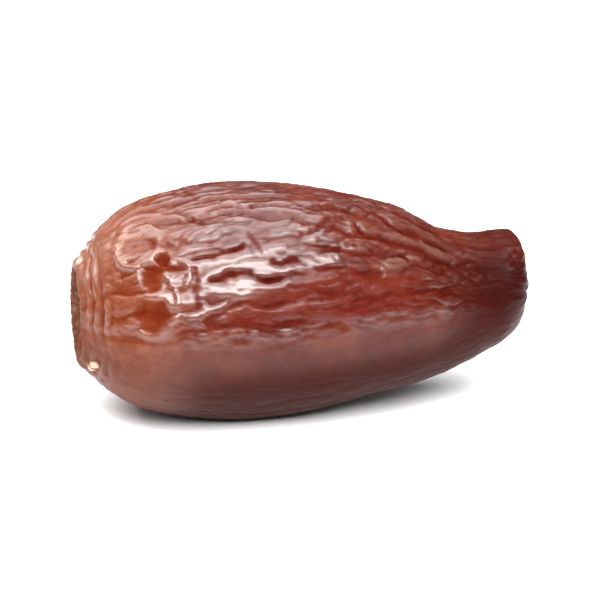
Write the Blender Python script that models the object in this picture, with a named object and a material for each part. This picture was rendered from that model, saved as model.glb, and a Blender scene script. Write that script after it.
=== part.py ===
"""One dried medjool date, as picked: a single solid lying on its side.

The stem end is at -X, the tip at +X, the side with the named creases at -Y and the resting surface at z = 0.
Lengths below are in millimetres and the finished mesh is scaled to metres. A place on the skin is written as
its distance from the stem end and its turn in degrees: 0 faces -Y, 90 is the top and -90 the underside.
"""

import math

import bmesh
import bpy
import numpy as np
from mathutils import Matrix, Vector, noise

METRES = 0.001

# Driving dimensions
LENGTH = 47.3
HALF_HEIGHT = 12.3
REST_CUT = 0.55
CUT_SNAP = 0.08

# The outline, stem end first: share of the length, and share of the half height
OUTLINE = (
    (0.0, 0.0), (0.0, 0.22), (0.004, 0.44), (0.027, 0.565), (0.06, 0.705), (0.125, 0.86),
    (0.23, 0.96), (0.365, 1.0), (0.50, 0.965), (0.625, 0.865), (0.73, 0.768), (0.82, 0.622),
    (0.90, 0.525), (0.955, 0.48), (0.988, 0.40), (1.0, 0.22), (1.0, 0.0),
)
# How far the middle of the body lies above or below a straight line: share of the length, and rise
CENTRE_LINE = (
    (0.0, -0.3), (0.05, 0.0), (0.2, 0.0), (0.37, 0.0), (0.62, -0.28),
    (0.72, -0.68), (0.81, -1.38), (0.88, -1.12), (0.94, -0.3), (1.0, 0.7),
)
# Width over height: share of the length, and ratio
WIDTH_RATIO = ((0.0, 1.04), (0.6, 1.04), (0.85, 0.99), (1.0, 0.9))

# The mesh is a box with this many faces across each end and this many along its sides. It is blown up to a
# ball and drawn out to the body. Its ends become caps of rings, each with this share of the outline's run
END_FACES = 24
SIDE_FACES = 46
STEM_CAP = 0.15
TIP_CAP = 0.12
# Small step, in radii of the ball, from which the slope of the body is read
PROBE = 0.002

# Broad unevenness, where the soft fruit was pressed
LUMP_HEIGHT = 0.45
LUMP_SPACING = (16.0, 9.0, 9.0)
LUMP_SEED = 3
# How far the noise moves on from one seed to the next
NOISE_STEP = Vector((17.3, -9.1, 5.7))

# Long folds of the dried skin. Each patch has its own wave, and where patches meet waves join or break off
FOLD_HEIGHT = 0.72
FOLD_LEVEL = 0.60
FOLD_SPACING = 2.9
FOLD_LENGTH = 6.0
FOLD_BREADTH = 2.6
FOLD_DEPTH = 3.0
FOLD_TILT = 0.12
FOLD_PATCHES = 330
FOLD_UNEVENNESS = 0.15
FOLD_AGREEMENT = (0.0, 0.22)
FOLD_SEED = 5
WANDER = 0.9
WANDER_SPACING = (5.0, 3.2, 3.2)
WANDER_SEEDS = (11, 12, 13)

# The underside is smoother: the turn where the folds begin on the creased side, and on the far side
FOLD_START = ((0.0, -14.0), (8.8, 2.0), (21.8, 0.0), (28.7, 9.0), (33.5, 9.0), (48.0, -5.0))
FOLD_START_BACK = -24.0
FOLD_START_BLEND = 11.0
CALM_SHARE = 0.25
# Folds grow between these distances from the scar's edge, and fade to a share between these from the tip
STALK_CALM = (1.0, 6.0)
TIP_CALM = (5.0, 0.5)
TIP_SHARE = 0.5
# The field of the closest creases, where folds by chance would clash with them: the place of its middle, its
# half size, the share of the folds that is left there, and where that share begins and ends
PLACED_MIDDLE = (16.5, 34.0)
PLACED_SIZE = (7.5, 24.0)
PLACED_SHARE = 0.5
PLACED_EDGE = (0.8, 1.2)

# Creases in the side that shows: depth, half width, and the places that each runs through
CREASES = (
    (0.42, 1.00, ((9.4, 82), (11.1, 69), (12.3, 65), (13.7, 63), (16.2, 61), (18.6, 60))),
    (0.34, 0.90, ((17.6, 70), (18.4, 71), (20.4, 71), (22.1, 69), (24.0, 69))),
    (0.44, 0.95, ((10.2, 45), (11.4, 44), (12.6, 44), (14.1, 46), (15.6, 47), (16.6, 49))),
    (0.38, 0.95, ((10.7, 42), (11.1, 36), (11.3, 28), (11.2, 20), (10.8, 15))),
    (0.52, 0.95, ((11.4, 32), (13.2, 32), (14.7, 34), (16.4, 33), (17.5, 31), (19.1, 30), (20.2, 31))),
    (0.38, 0.95, ((10.9, 11), (11.7, 13), (13.0, 15), (15.2, 20), (17.2, 18), (19.1, 19), (20.6, 21))),
    (0.42, 0.95, ((28.2, 76), (29.7, 73), (31.4, 70), (32.8, 66), (34.9, 66), (37.2, 67))),
    (0.44, 0.95, ((30.0, 60), (31.0, 58), (33.7, 54), (36.5, 56), (38.8, 57))),
    (0.34, 0.90, ((25.4, 31), (26.7, 32), (28.5, 33), (31.0, 35))),
    (0.44, 1.00, ((26.6, 17), (27.9, 18), (30.2, 20), (33.0, 23), (36.6, 26), (40.0, 28))),
    (0.32, 0.90, ((21.6, 19), (22.8, 20), (25.6, 21))),
    (0.34, 0.90, ((18.4, 41), (19.7, 38), (21.0, 39), (23.0, 38))),
    (0.34, 0.90, ((21.4, 50), (22.3, 52), (23.7, 54), (25.0, 60), (25.8, 66))),
)
CREASE_STEPS = 8
# The skin swells a little beside a crease: share of its depth, and distance in half widths
SHOULDER_SHARE = 0.3
SHOULDER_DISTANCE = 2.2
# The share of a crease's length in which each end runs out
CREASE_ENDS = 0.25
# Dimples between the creases: place, half length, half breadth, depth, and height of the lip round it.
# A pad that stands up has a depth below 0 and no lip
DIMPLES = (
    ((5.5, 58), 1.7, 2.0, 0.24, 0.30),
    ((7.9, 46), 0.9, 0.9, 0.42, 0.10),
    ((6.5, 36), 1.2, 1.3, 0.36, 0.18),
    ((6.3, 16), 1.5, 1.6, 0.42, 0.18),
    ((15.2, 26), 3.8, 1.0, -0.24, 0.0),
    ((15.0, 40), 3.6, 1.0, -0.14, 0.0),
)
DIMPLE_STEEPNESS = 3
# The straight distance counts by this share too, so that a dimple doesn't show through on the far side
DIMPLE_NEAR = 0.5
LIP_DISTANCE = 1.35
LIP_WIDTH = 0.3

# The scar where the fruit hung from its stalk: a shallow dish in a raised dry rim, with a pit in the middle
SCAR_RADIUS = 5.2
SCAR_DEPTH = 0.8
SCAR_FLOOR_SHARE = 0.6
SCAR_RIM_HEIGHT = 0.45
SCAR_RIM_WIDTH = 0.9
SCAR_RAGGED = 0.45
SCAR_LOBES = 2.2
SCAR_SEED = 41
SCAR_PIT_RADIUS = 1.1
SCAR_PIT_DEPTH = 1.1
PUCKER_HEIGHT = 0.2
PUCKER_COUNT = 17
PUCKER_END = 9.0
PUCKER_RISE = 1.2
PUCKER_FADE = 2.5
PUCKER_WAVER = 3.0
PUCKER_SEED = 43

# The dry point that the flower left at the tip, and the puckers that run into it
TIP_HEIGHT = 0.35
TIP_RADIUS = 1.3
TIP_PUCKER_HEIGHT = 0.13
TIP_PUCKER_COUNT = 11
TIP_PUCKER_WAVER = 2.0
TIP_PUCKER_START = (0.8, 2.2)
TIP_PUCKER_END = (6.2, 3.2)
TIP_PUCKER_SEED = 49

SKIN_COLOUR = (0.17, 0.030, 0.014, 1.0)
SKIN_ROUGHNESS = 0.38


def remove_objects():
    """Empty the scene that Blender starts with."""
    for item in list(bpy.data.objects):
        bpy.data.objects.remove(item, do_unlink=True)


def ramp(low, high, value):
    """0 below low, 1 above high, and a smooth rise between them."""
    t = np.clip((value - low) / (high - low), 0, 1)
    return t * t * (3 - 2 * t)


def soft_noise(points, spacing, seed):
    """Smooth noise from about -1 to 1 at each point, with the given spacing along X, Y and Z."""
    start = NOISE_STEP * seed
    return np.array([noise.noise(Vector(place) + start) for place in points / np.array(spacing)])


def smooth_curve(points, steps=24):
    """A smooth curve through the points, with the share of its length that lies before each of its places."""
    known = np.array(points, float)
    known = np.vstack([2 * known[0] - known[1], known, 2 * known[-1] - known[-2]])
    t = np.linspace(0, 1, steps, endpoint=False)[:, None]
    spans = []
    for a, b, c, d in zip(known, known[1:], known[2:], known[3:]):
        cubic = 3 * b - a - 3 * c + d
        square = 2 * a - 5 * b + 4 * c - d
        spans.append(b + 0.5 * t * (c - a + t * (square + t * cubic)))
    curve = np.vstack(spans + [known[-2:-1]])
    run = np.concatenate([[0], np.cumsum(np.linalg.norm(np.diff(curve, axis=0), axis=1))])
    return run / run[-1], curve


OUTLINE_RUN, OUTLINE_CURVE = smooth_curve([(x * LENGTH, r * HALF_HEIGHT) for x, r in OUTLINE])
CENTRE_X, CENTRE_RISE = np.array([(x * LENGTH, rise) for x, rise in CENTRE_LINE]).T
WIDTH_X, WIDTH_SHARE = np.array([(x * LENGTH, ratio) for x, ratio in WIDTH_RATIO]).T


def ball_place(run, turn):
    """The place on a ball of radius 1 for a share of the outline's run and a turn in radians."""
    swing = run * math.pi
    return np.stack([-np.cos(swing), -np.sin(swing) * np.cos(turn), np.sin(swing) * np.sin(turn)], axis=1)


def body(ball):
    """The body before any fold, for places on the ball."""
    run = np.arccos(np.clip(-ball[:, 0], -1, 1)) / math.pi
    turn = np.arctan2(ball[:, 2], -ball[:, 1])
    x = np.interp(run, OUTLINE_RUN, OUTLINE_CURVE[:, 0])
    r = np.interp(run, OUTLINE_RUN, OUTLINE_CURVE[:, 1])
    rise = np.interp(x, CENTRE_X, CENTRE_RISE)
    half_width = r * np.interp(x, WIDTH_X, WIDTH_SHARE)
    points = np.stack([x, -np.cos(turn) * half_width, np.sin(turn) * r + rise], axis=1)
    outward = points - np.stack([x, 0 * x, rise], axis=1)
    outward[:, 0] = (run - 0.5) * HALF_HEIGHT
    outward /= np.linalg.norm(outward, axis=1)[:, None]
    return points + outward * LUMP_HEIGHT * soft_noise(points, LUMP_SPACING, LUMP_SEED)[:, None]


def unit(vectors):
    """Vectors brought to length 1."""
    return vectors / (np.linalg.norm(vectors, axis=1)[:, None] + 1e-12)


def surface(ball):
    """For places on the ball: the body's points, its outward normals, and directions along and across it."""
    helper = np.where(np.abs(ball[:, :1]) > 0.9, [[0.0, 1.0, 0.0]], [[1.0, 0.0, 0.0]])
    first = unit(np.cross(ball, helper))
    second = np.cross(ball, first)
    points = body(ball)
    first_step = body(unit(ball + PROBE * first)) - points
    second_step = body(unit(ball + PROBE * second)) - points
    normals = unit(np.cross(first_step, second_step))
    normals *= np.sign(np.sum(normals * ball, axis=1))[:, None]
    across = unit(np.cross([[1.0, 0.0, 0.0]], normals))
    return points, normals, np.cross(normals, across), across


def even_places(count):
    """Places on the ball whose points on the body are spread evenly, along a spiral by the golden angle."""
    step = np.arange(count) + 0.5
    radius = (OUTLINE_CURVE[1:, 1] + OUTLINE_CURVE[:-1, 1]) / 2
    area = np.concatenate([[0], np.cumsum(radius * np.diff(OUTLINE_RUN))])
    run = np.interp(step / count, area / area[-1], OUTLINE_RUN)
    return ball_place(run, step * math.pi * (1 + math.sqrt(5)))


def skin_place(place):
    """The point of the body at a distance from the stem end and a turn in degrees."""
    x, turn = place
    run = np.interp(x, OUTLINE_CURVE[:, 0], OUTLINE_RUN)
    return body(ball_place(np.array([run]), np.array([math.radians(turn)])))[0]


def wandered(points):
    """The points pushed about a little, so that what is drawn on them meanders."""
    shift = [soft_noise(points, WANDER_SPACING, seed) for seed in WANDER_SEEDS]
    return points + WANDER * np.stack(shift, axis=1)


def fold_waves(points):
    """The stage of the fold's wave at each point, and from 0 to 1 how well the patches there agree."""
    rng = np.random.default_rng(FOLD_SEED)
    tilts = rng.normal(0, FOLD_TILT, FOLD_PATCHES)
    rates = 2 * math.pi / (FOLD_SPACING * np.exp(rng.normal(0, FOLD_UNEVENNESS, FOLD_PATCHES)))
    starts = rng.uniform(0, 2 * math.pi, FOLD_PATCHES)
    total = np.zeros(len(points), complex)
    weight = np.full(len(points), 1e-6)
    patches = zip(*surface(even_places(FOLD_PATCHES)), tilts, rates, starts)
    for middle, normal, along, across, tilt, rate, start in patches:
        offset = points - middle
        u = offset @ along
        v = offset @ across
        w = offset @ normal
        share = np.exp(-0.5 * ((u / FOLD_LENGTH) ** 2 + (v / FOLD_BREADTH) ** 2 + (w / FOLD_DEPTH) ** 2))
        wave = rate * (v * math.cos(tilt) + u * math.sin(tilt)) + start
        total += share * np.exp(1j * wave)
        weight += share
    return np.angle(total), ramp(*FOLD_AGREEMENT, np.abs(total) / weight)


def beside_creases(points):
    """The share of the folds that is left: all of them, but less amid the closest of the named creases."""
    turn = np.degrees(np.arctan2(points[:, 2], -points[:, 1]))
    distance = np.hypot(
        (points[:, 0] - PLACED_MIDDLE[0]) / PLACED_SIZE[0],
        (turn - PLACED_MIDDLE[1]) / PLACED_SIZE[1],
    )
    return PLACED_SHARE + (1 - PLACED_SHARE) * ramp(*PLACED_EDGE, distance)


def fold_strength(points):
    """How strong the folds are: least on the underside, none on the scar and little at the very tip."""
    turn = np.degrees(np.arctan2(points[:, 2], np.abs(points[:, 1])))
    front = np.interp(points[:, 0], *np.array(FOLD_START).T)
    facing = ramp(-HALF_HEIGHT / 2, HALF_HEIGHT / 2, points[:, 1])
    start = front * (1 - facing) + FOLD_START_BACK * facing
    lively = ramp(-FOLD_START_BLEND, FOLD_START_BLEND, turn - start)
    from_stalk = ramp(*STALK_CALM, np.linalg.norm(points, axis=1) - SCAR_RADIUS)
    from_tip = 1 - (1 - TIP_SHARE) * ramp(*TIP_CALM, LENGTH - points[:, 0])
    return (CALM_SHARE + (1 - CALM_SHARE) * lively) * beside_creases(points) * from_stalk * from_tip


def crease_relief(points):
    """The height that the creases take away: a valley along each curve, with a soft swelling beside it."""
    relief = np.zeros(len(points))
    for depth, half_width, places in CREASES:
        curve = smooth_curve([skin_place(place) for place in places], CREASE_STEPS)[1]
        share = np.linspace(0, 1, len(curve))
        fade = ramp(0, CREASE_ENDS, share) * ramp(1, 1 - CREASE_ENDS, share)
        distance = np.linalg.norm(points[:, None] - curve[None], axis=2) / half_width
        valley = (fade * np.exp(-(distance ** 2))).max(axis=1)
        shoulder = (fade * np.exp(-((distance - SHOULDER_DISTANCE) ** 2))).max(axis=1)
        relief += depth * (SHOULDER_SHARE * shoulder * (1 - valley) - valley)
    return relief


def dimple_relief(points, along, across):
    """The height that the dimples take away, and the lip that stands up round each."""
    relief = np.zeros(len(points))
    for place, half_length, half_breadth, depth, lip in DIMPLES:
        offset = points - skin_place(place)
        u = np.sum(offset * along, axis=1) / half_length
        v = np.sum(offset * across, axis=1) / half_breadth
        reach = np.linalg.norm(offset, axis=1) / max(half_length, half_breadth)
        distance = np.maximum(np.hypot(u, v), DIMPLE_NEAR * reach)
        relief -= depth * np.exp(-(distance ** DIMPLE_STEEPNESS))
        relief += lip * np.exp(-(((distance - LIP_DISTANCE) / LIP_WIDTH) ** 2))
    return relief


def scar_relief(points):
    """The stalk's scar: dish, ragged rim and middle pit, with small puckers in the skin round it."""
    middle = points - [0.0, 0.0, CENTRE_RISE[0]]
    radius = np.linalg.norm(middle, axis=1)
    angle = np.arctan2(middle[:, 2], middle[:, 1])
    edge = np.stack([np.cos(angle), np.sin(angle), 0 * angle], axis=1)
    ragged = SCAR_RADIUS + SCAR_RAGGED * soft_noise(edge * SCAR_LOBES, (1, 1, 1), SCAR_SEED)
    dish = -SCAR_DEPTH * ramp(ragged, ragged * SCAR_FLOOR_SHARE, radius)
    rim = SCAR_RIM_HEIGHT * np.exp(-(((radius - ragged) / SCAR_RIM_WIDTH) ** 2))
    pit = -SCAR_PIT_DEPTH * np.exp(-((radius / SCAR_PIT_RADIUS) ** 2))
    waver = PUCKER_WAVER * soft_noise(edge, (1, 1, 1), PUCKER_SEED)
    band = ramp(0, PUCKER_RISE, radius - SCAR_RADIUS) * ramp(0, PUCKER_FADE, PUCKER_END - radius)
    pucker = PUCKER_HEIGHT * band * np.cos(PUCKER_COUNT * angle + waver)
    return dish + rim + pit + pucker


def tip_relief(points):
    """The dry point at the tip, and the puckers that run into it."""
    middle = points - [LENGTH, 0.0, CENTRE_RISE[-1]]
    radius = np.linalg.norm(middle, axis=1)
    angle = np.arctan2(middle[:, 2], middle[:, 1])
    waver = TIP_PUCKER_WAVER * soft_noise(middle, WANDER_SPACING, TIP_PUCKER_SEED)
    band = ramp(*TIP_PUCKER_START, radius) * ramp(*TIP_PUCKER_END, radius)
    pucker = TIP_PUCKER_HEIGHT * band * np.cos(TIP_PUCKER_COUNT * angle + waver)
    return TIP_HEIGHT * np.exp(-((radius / TIP_RADIUS) ** 2)) + pucker


def skin(ball):
    """The finished skin: the body, raised and lowered along its normals by everything named above."""
    points, normals, along, across = surface(ball)
    stage, agreed = fold_waves(wandered(points))
    strength = fold_strength(points)
    relief = FOLD_HEIGHT * (0.5 + 0.5 * np.cos(stage) - FOLD_LEVEL) * agreed * strength
    relief += crease_relief(points)
    relief += dimple_relief(points, along, across)
    relief += scar_relief(points)
    relief += tip_relief(points)
    return points + normals * relief[:, None]


def box_mesh():
    """A box whose ends are cut into END_FACES by END_FACES faces and whose sides into SIDE_FACES along X."""
    mesh = bmesh.new()
    bmesh.ops.create_cube(mesh, size=2)
    round_x = [edge for edge in mesh.edges if edge.verts[0].co.x == edge.verts[1].co.x]
    bmesh.ops.subdivide_edges(mesh, edges=round_x, cuts=END_FACES - 1, use_grid_fill=True)
    along_x = [edge for edge in mesh.edges if edge.verts[0].co.x != edge.verts[1].co.x]
    bmesh.ops.subdivide_edges(mesh, edges=along_x, cuts=SIDE_FACES - 1, use_grid_fill=True)
    mesh.verts.ensure_lookup_table()
    return mesh


def blown_up(box):
    """Places on the ball for the box's points: rings at both ends, and even spacing between them."""
    ring = np.abs(box[:, 1:]).max(axis=1)
    share = (box[:, 0] + 1) / 2
    run = STEM_CAP + (1 - STEM_CAP - TIP_CAP) * share
    run = np.where(share == 0, STEM_CAP * ring, run)
    run = np.where(share == 1, 1 - TIP_CAP * ring, run)
    side = np.tan(box[:, 1:] * math.pi / 4)
    return ball_place(run, np.arctan2(side[:, 1], -side[:, 0]))


def cut_rest_spot(mesh, height):
    """Cut the lowest bulge off level at the height, and close the cut with one flat face."""
    everything = mesh.verts[:] + mesh.edges[:] + mesh.faces[:]
    cut = bmesh.ops.bisect_plane(
        mesh, geom=everything, dist=CUT_SNAP, plane_co=(0, 0, height), plane_no=(0, 0, -1), clear_outer=True
    )
    edges = [item for item in cut["geom_cut"] if isinstance(item, bmesh.types.BMEdge)]
    for vert in {vert for edge in edges for vert in edge.verts}:
        vert.co.z = height
    bmesh.ops.holes_fill(mesh, edges=edges)


def date_mesh():
    """The whole date as a closed mesh in metres, centred over the origin and resting at z = 0."""
    mesh = box_mesh()
    points = skin(blown_up(np.array([vert.co for vert in mesh.verts])))
    for vert, point in zip(mesh.verts, points):
        vert.co = point
    height = points[:, 2].min() + REST_CUT
    cut_rest_spot(mesh, height)
    low = np.array([vert.co for vert in mesh.verts]).min(axis=0)
    high = np.array([vert.co for vert in mesh.verts]).max(axis=0)
    middle = (low + high) / 2
    bmesh.ops.translate(mesh, verts=mesh.verts, vec=(-middle[0], -middle[1], -height))
    bmesh.ops.triangulate(mesh, faces=mesh.faces)
    bmesh.ops.recalc_face_normals(mesh, faces=mesh.faces)
    bmesh.ops.transform(mesh, matrix=Matrix.Scale(METRES, 4), verts=mesh.verts)
    result = bpy.data.meshes.new("date")
    mesh.to_mesh(result)
    mesh.free()
    return result


def skin_material():
    """Dried date skin: dark red-brown with a soft shine."""
    material = bpy.data.materials.new("dried date skin")
    material.use_nodes = True
    shader = material.node_tree.nodes["Principled BSDF"]
    shader.inputs["Base Color"].default_value = SKIN_COLOUR
    shader.inputs["Roughness"].default_value = SKIN_ROUGHNESS
    shader.inputs["Metallic"].default_value = 0.0
    return material


def build():
    """Make the date and place it in the scene."""
    remove_objects()
    mesh = date_mesh()
    mesh.materials.append(skin_material())
    mesh.shade_smooth()
    date = bpy.data.objects.new("date", mesh)
    bpy.context.scene.collection.objects.link(date)


build()
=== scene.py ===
# %% [markdown]
# # A dried medjool date
# A medjool date is a soft fruit that dries on the palm. Its flesh shrinks and its thin skin doesn't, so the
# skin gathers into long folds. This lesson dresses a plain solid of the date with a fine skin: first the
# form, then the folds, then the finish, and last the light.
#
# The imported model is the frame: it gives the date's real size and place. The fine skin replaces the frame's
# one solid, and follows the same outline, so the two fit each other.

# %% Load the frame
import math

import bmesh
import bpy
import numpy as np
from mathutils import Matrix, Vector, noise


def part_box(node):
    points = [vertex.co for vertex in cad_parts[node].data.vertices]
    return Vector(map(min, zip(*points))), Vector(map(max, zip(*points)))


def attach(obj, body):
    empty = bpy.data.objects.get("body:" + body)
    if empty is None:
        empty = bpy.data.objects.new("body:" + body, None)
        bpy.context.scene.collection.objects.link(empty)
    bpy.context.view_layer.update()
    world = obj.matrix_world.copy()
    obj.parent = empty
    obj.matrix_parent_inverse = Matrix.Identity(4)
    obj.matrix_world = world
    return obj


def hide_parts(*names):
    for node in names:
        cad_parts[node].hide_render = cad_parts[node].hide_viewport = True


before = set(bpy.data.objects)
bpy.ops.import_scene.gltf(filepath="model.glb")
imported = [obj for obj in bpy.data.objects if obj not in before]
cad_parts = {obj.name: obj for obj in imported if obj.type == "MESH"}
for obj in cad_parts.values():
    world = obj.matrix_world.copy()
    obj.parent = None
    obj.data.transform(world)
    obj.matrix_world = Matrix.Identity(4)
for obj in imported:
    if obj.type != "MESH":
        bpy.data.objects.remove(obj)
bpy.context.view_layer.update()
date_low, date_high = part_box("date")
date_size = [round((high - low) * 1000, 1) for low, high in zip(date_low, date_high)]
print("the solid date measures", date_size, "mm")

# %% [markdown]
# ## Small tools
# The date's lengths are in millimetres, as one would measure a fruit, and become metres at the end.
# Colours are written as the hex values that a paint program shows, and one function turns them into the
# linear light that Blender works in. Nothing on a fruit has a hard edge, so what starts or ends does so on
# a smooth ramp.

# %% Colours
MM = 0.001


def linear(hex_colour):
    """An sRGB hex colour as linear red, green, blue and alpha, by the curve of the sRGB standard."""
    channels = [int(hex_colour[i:i + 2], 16) / 255 for i in (0, 2, 4)]
    return tuple(c / 12.92 if c <= 0.04045 else ((c + 0.055) / 1.055) ** 2.4 for c in channels) + (1.0,)


print("date red in linear light:", [round(c, 3) for c in linear("7b2a1a")])

# %% Ramps and noise
# How far apart two noises lie, so that each seed gives its own pattern
NOISE_STEP = Vector((17.3, -9.1, 5.7))
TINY = 1e-12


def ramp(value, start, end):
    """0 up to the start, 1 from the end on, and a smooth rise between. The end may be the lesser one."""
    t = np.clip((value - start) / (end - start), 0, 1)
    return t * t * (3 - 2 * t)


def window(value, start, full, waning, end):
    """0 outside start and end, 1 from full to waning, and smooth between them."""
    return ramp(value, start, full) * ramp(value, end, waning)


def bell(value):
    """1 at 0, and a smooth fall to 0 on both sides."""
    return np.exp(-(value ** 2))


def at_least(least, share):
    """A share squeezed so that it runs from the least to 1."""
    return least + (1 - least) * share


def soft_noise(points, spacing, seed):
    """Smooth noise from about -1 to 1 at each point, with the given spacing along X, Y and Z."""
    start = NOISE_STEP * seed
    return np.array([noise.noise(Vector(p) + start) for p in points / np.array(spacing)])


def patchy(points, mean, swing, spacing, seed):
    """A share that differs from patch to patch of the skin, by up to the swing above and below its mean."""
    return mean + swing * soft_noise(points, spacing, seed)


def unit(vectors):
    """Vectors brought to length 1."""
    return vectors / (np.linalg.norm(vectors, axis=1)[:, None] + TINY)


print("a quarter of the way along a ramp it has risen to", round(float(ramp(1, 0, 4)), 2))

# %% [markdown]
# ## The body
# The date is nearly a turned shape: an outline swung round a line from the stem end to the tip. It could be
# made with a screw or a lathe, but its middle line sags and its tip is narrower across than it is high. So
# the outline is written as a curve, and a formula puts each point of a ball on it. A few shares of the
# length and the half height are enough, and a smooth curve through them gives the rest.

# %% Outline and middle line
LENGTH = 47.3
HALF_HEIGHT = 12.3
# Shares of the length and of the half height
OUTLINE = (
    (0.0, 0.0), (0.0, 0.22), (0.004, 0.44), (0.027, 0.565), (0.06, 0.705), (0.125, 0.86),
    (0.23, 0.96), (0.365, 1.0), (0.50, 0.965), (0.625, 0.865), (0.73, 0.768), (0.82, 0.622),
    (0.90, 0.525), (0.955, 0.48), (0.988, 0.40), (1.0, 0.22), (1.0, 0.0),
)
# Shares of the length, and the middle line's rise there in mm
CENTRE_LINE = (
    (0.0, -0.3), (0.05, 0.0), (0.2, 0.0), (0.37, 0.0), (0.62, -0.28),
    (0.72, -0.68), (0.81, -1.38), (0.88, -1.12), (0.94, -0.3), (1.0, 0.7),
)
# Shares of the length, and how wide the date is there for its height
WIDTH_RATIO = ((0.0, 1.04), (0.6, 1.04), (0.85, 0.99), (1.0, 0.9))


def smooth_curve(points, steps=24):
    """A smooth curve through the points, with the share of its length that lies before each of its places."""
    known = np.array(points, float)
    known = np.vstack([2 * known[0] - known[1], known, 2 * known[-1] - known[-2]])
    t = np.linspace(0, 1, steps, endpoint=False)[:, None]
    spans = []
    for a, b, c, d in zip(known, known[1:], known[2:], known[3:]):
        cubic = 3 * b - a - 3 * c + d
        square = 2 * a - 5 * b + 4 * c - d
        spans.append(b + 0.5 * t * (c - a + t * (square + t * cubic)))
    curve = np.vstack(spans + [known[-2:-1]])
    run = np.concatenate([[0], np.cumsum(np.linalg.norm(np.diff(curve, axis=0), axis=1))])
    return run / run[-1], curve


OUTLINE_RUN, OUTLINE_CURVE = smooth_curve([(x * LENGTH, r * HALF_HEIGHT) for x, r in OUTLINE])
CENTRE_X, CENTRE_RISE = np.array([(x * LENGTH, rise) for x, rise in CENTRE_LINE]).T
WIDTH_X, WIDTH_SHARE = np.array([(x * LENGTH, ratio) for x, ratio in WIDTH_RATIO]).T
print("the outline curve has", len(OUTLINE_CURVE), "places")

# %% [markdown]
# A soft fruit is never quite round: it was pressed in its box. Slow noise lifts and lowers the body by half
# a millimetre or less. Places on the skin are given on a ball of radius 1, because a ball has no seam.

# %% From the ball to the body
LUMP_HEIGHT = 0.45
LUMP_SPACING = (16.0, 9.0, 9.0)
LUMP_SEED = 3


def ball_place(run, turn):
    """The place on the ball for a share of the outline's run and a turn in radians."""
    swing = run * math.pi
    return np.stack([-np.cos(swing), -np.sin(swing) * np.cos(turn), np.sin(swing) * np.sin(turn)], axis=1)


def body(ball):
    """The body before any fold, for places on the ball."""
    run = np.arccos(np.clip(-ball[:, 0], -1, 1)) / math.pi
    turn = np.arctan2(ball[:, 2], -ball[:, 1])
    x = np.interp(run, OUTLINE_RUN, OUTLINE_CURVE[:, 0])
    r = np.interp(run, OUTLINE_RUN, OUTLINE_CURVE[:, 1])
    rise = np.interp(x, CENTRE_X, CENTRE_RISE)
    half_width = r * np.interp(x, WIDTH_X, WIDTH_SHARE)
    points = np.stack([x, -np.cos(turn) * half_width, np.sin(turn) * r + rise], axis=1)
    outward = points - np.stack([x, 0 * x, rise], axis=1)
    outward[:, 0] = (run - 0.5) * HALF_HEIGHT
    return points + unit(outward) * LUMP_HEIGHT * soft_noise(points, LUMP_SPACING, LUMP_SEED)[:, None]


def skin_place(place):
    """The point of the body at a distance from the stem end and a turn in degrees, 0 at -Y and 90 on top."""
    x, turn = place
    run = np.interp(x, OUTLINE_CURVE[:, 0], OUTLINE_RUN)
    return body(ball_place(np.array([run]), np.array([math.radians(turn)])))[0]


print("the top of the body's middle is at", np.round(skin_place((LENGTH / 2, 90)), 1))

# %% Directions and angles on the body
# The step on the ball that measures the body's slope, and the ball's X past which a point is at an end
PROBE = 0.002
AT_END = 0.9


def surface(ball):
    """For places on the ball: the body's points, its outward normals, and directions along and across it."""
    helper = np.where(np.abs(ball[:, :1]) > AT_END, [[0.0, 1.0, 0.0]], [[1.0, 0.0, 0.0]])
    first = unit(np.cross(ball, helper))
    second = np.cross(ball, first)
    points = body(ball)
    first_step = body(unit(ball + PROBE * first)) - points
    second_step = body(unit(ball + PROBE * second)) - points
    normals = unit(np.cross(first_step, second_step))
    normals *= np.sign(np.sum(normals * ball, axis=1))[:, None]
    across = unit(np.cross([[1.0, 0.0, 0.0]], normals))
    return points, normals, np.cross(normals, across), across


def turn_angle(points):
    """Degrees round the date: 0 at -Y, 90 on top and 180 at +Y."""
    return np.degrees(np.arctan2(points[:, 2], -points[:, 1]))


def side_angle(points):
    """Degrees above the middle of either side: 90 on top, 0 at the side and -90 below."""
    return np.degrees(np.arctan2(points[:, 2], np.abs(points[:, 1])))


middle_normal = surface(ball_place(np.array([0.5]), np.array([0.0])))[1][0]
print("the middle of the side that shows looks along", np.round(middle_normal, 2))

# %% [markdown]
# ## The mesh
# A UV sphere would crowd its faces at both ends, just where the stem scar needs even ones, and a cube blown
# up to a ball turns its rows of faces across the folds. So a long box is used. Its sides are cut finely
# along the date and its two ends become caps of rings. It stays under 200,000 triangles, which is a face
# for every 0.2 mm of skin.

# %% A box blown up to a ball
END_FACES = 96
SIDE_FACES = 206
# Shares of the outline's run that the box's two ends cover
STEM_CAP = 0.15
TIP_CAP = 0.12


def box_mesh():
    """A box whose ends are cut into END_FACES by END_FACES faces and whose sides into SIDE_FACES along X."""
    mesh = bmesh.new()
    bmesh.ops.create_cube(mesh, size=2)
    round_x = [edge for edge in mesh.edges if edge.verts[0].co.x == edge.verts[1].co.x]
    bmesh.ops.subdivide_edges(mesh, edges=round_x, cuts=END_FACES - 1, use_grid_fill=True)
    along_x = [edge for edge in mesh.edges if edge.verts[0].co.x != edge.verts[1].co.x]
    bmesh.ops.subdivide_edges(mesh, edges=along_x, cuts=SIDE_FACES - 1, use_grid_fill=True)
    mesh.verts.ensure_lookup_table()
    return mesh


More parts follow.
